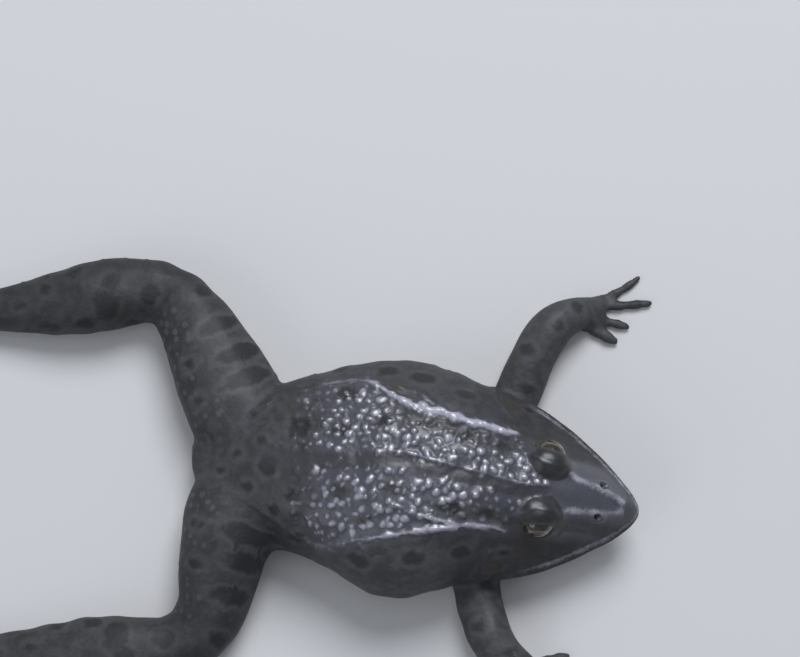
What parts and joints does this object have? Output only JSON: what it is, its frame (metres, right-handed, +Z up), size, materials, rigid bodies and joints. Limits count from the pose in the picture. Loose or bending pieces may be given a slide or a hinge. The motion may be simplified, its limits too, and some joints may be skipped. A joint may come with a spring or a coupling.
{
  "type": "leopard frog",
  "caption": "Life-size leopard frog lying on its belly, head turned slightly right, forelimbs spread forwards and webbed hind feet trailing.",
  "frame": {"origin": "middle of the base of the bounding box, on the level that the belly and limbs lie on", "axes": "+X along the back towards the snout, +Y to the frog's left, +Z up from the belly to the back"},
  "size_m": [0.1916, 0.1168, 0.0237],
  "materials": {
    "skin": "wet smooth skin, dark grey olive with darker spots and bars, pale folds and a pale belly",
    "eye": "wet and glossy, dark pupil in a bronze iris"
  },
  "bodies": {
    "root": {"head": "skin", "torso": "skin", "eye_left": "eye", "eye_right": "eye", "upper_arm_left": "skin", "upper_arm_right": "skin", "forearm_left": "skin", "forearm_right": "skin", "hand_left": "skin", "hand_right": "skin", "thigh_left": "skin", "thigh_right": "skin", "shank_left": "skin", "shank_right": "skin", "tarsus_left": "skin", "tarsus_right": "skin", "foot_left": "skin", "foot_right": "skin"}
  },
  "joints": []
}
